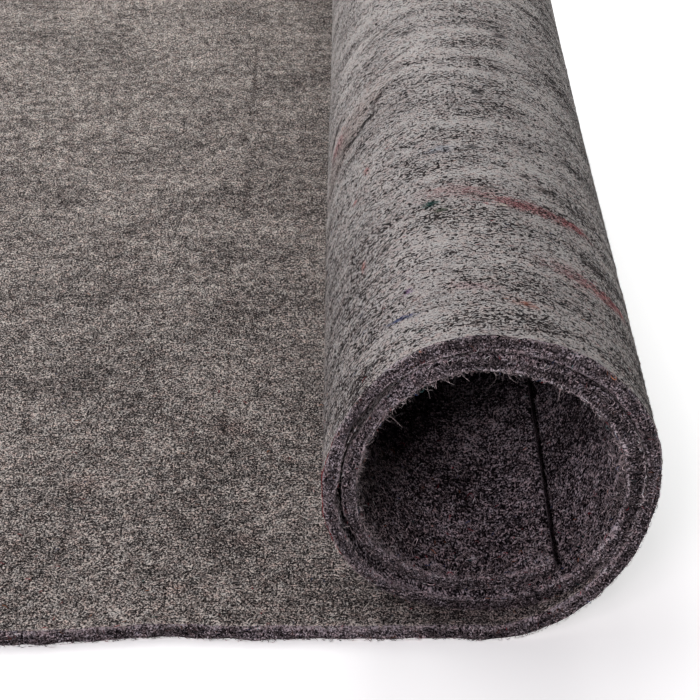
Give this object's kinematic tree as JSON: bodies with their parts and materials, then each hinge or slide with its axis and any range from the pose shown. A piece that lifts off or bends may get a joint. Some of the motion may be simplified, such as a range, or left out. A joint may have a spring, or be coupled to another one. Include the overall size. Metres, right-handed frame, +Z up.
{
  "type": "roll of carpet underlay",
  "caption": "Cut length of thick grey recycled-fibre felt underlay, one end wound into a loose hollow roll and the rest lying flat beside it.",
  "frame": {"origin": "middle of the footprint, on the floor", "axes": "+Y along the roll's axis from the front end to the back, +X from the unwound end to the roll, +Z up"},
  "size_m": [0.4272, 1.0218, 0.1271],
  "materials": {
    "felt": "matt needled felt of mixed recycled fibres, warm grey with darker cut edges and stray coloured threads"
  },
  "bodies": {
    "root": {"underlay": "felt"}
  },
  "joints": []
}
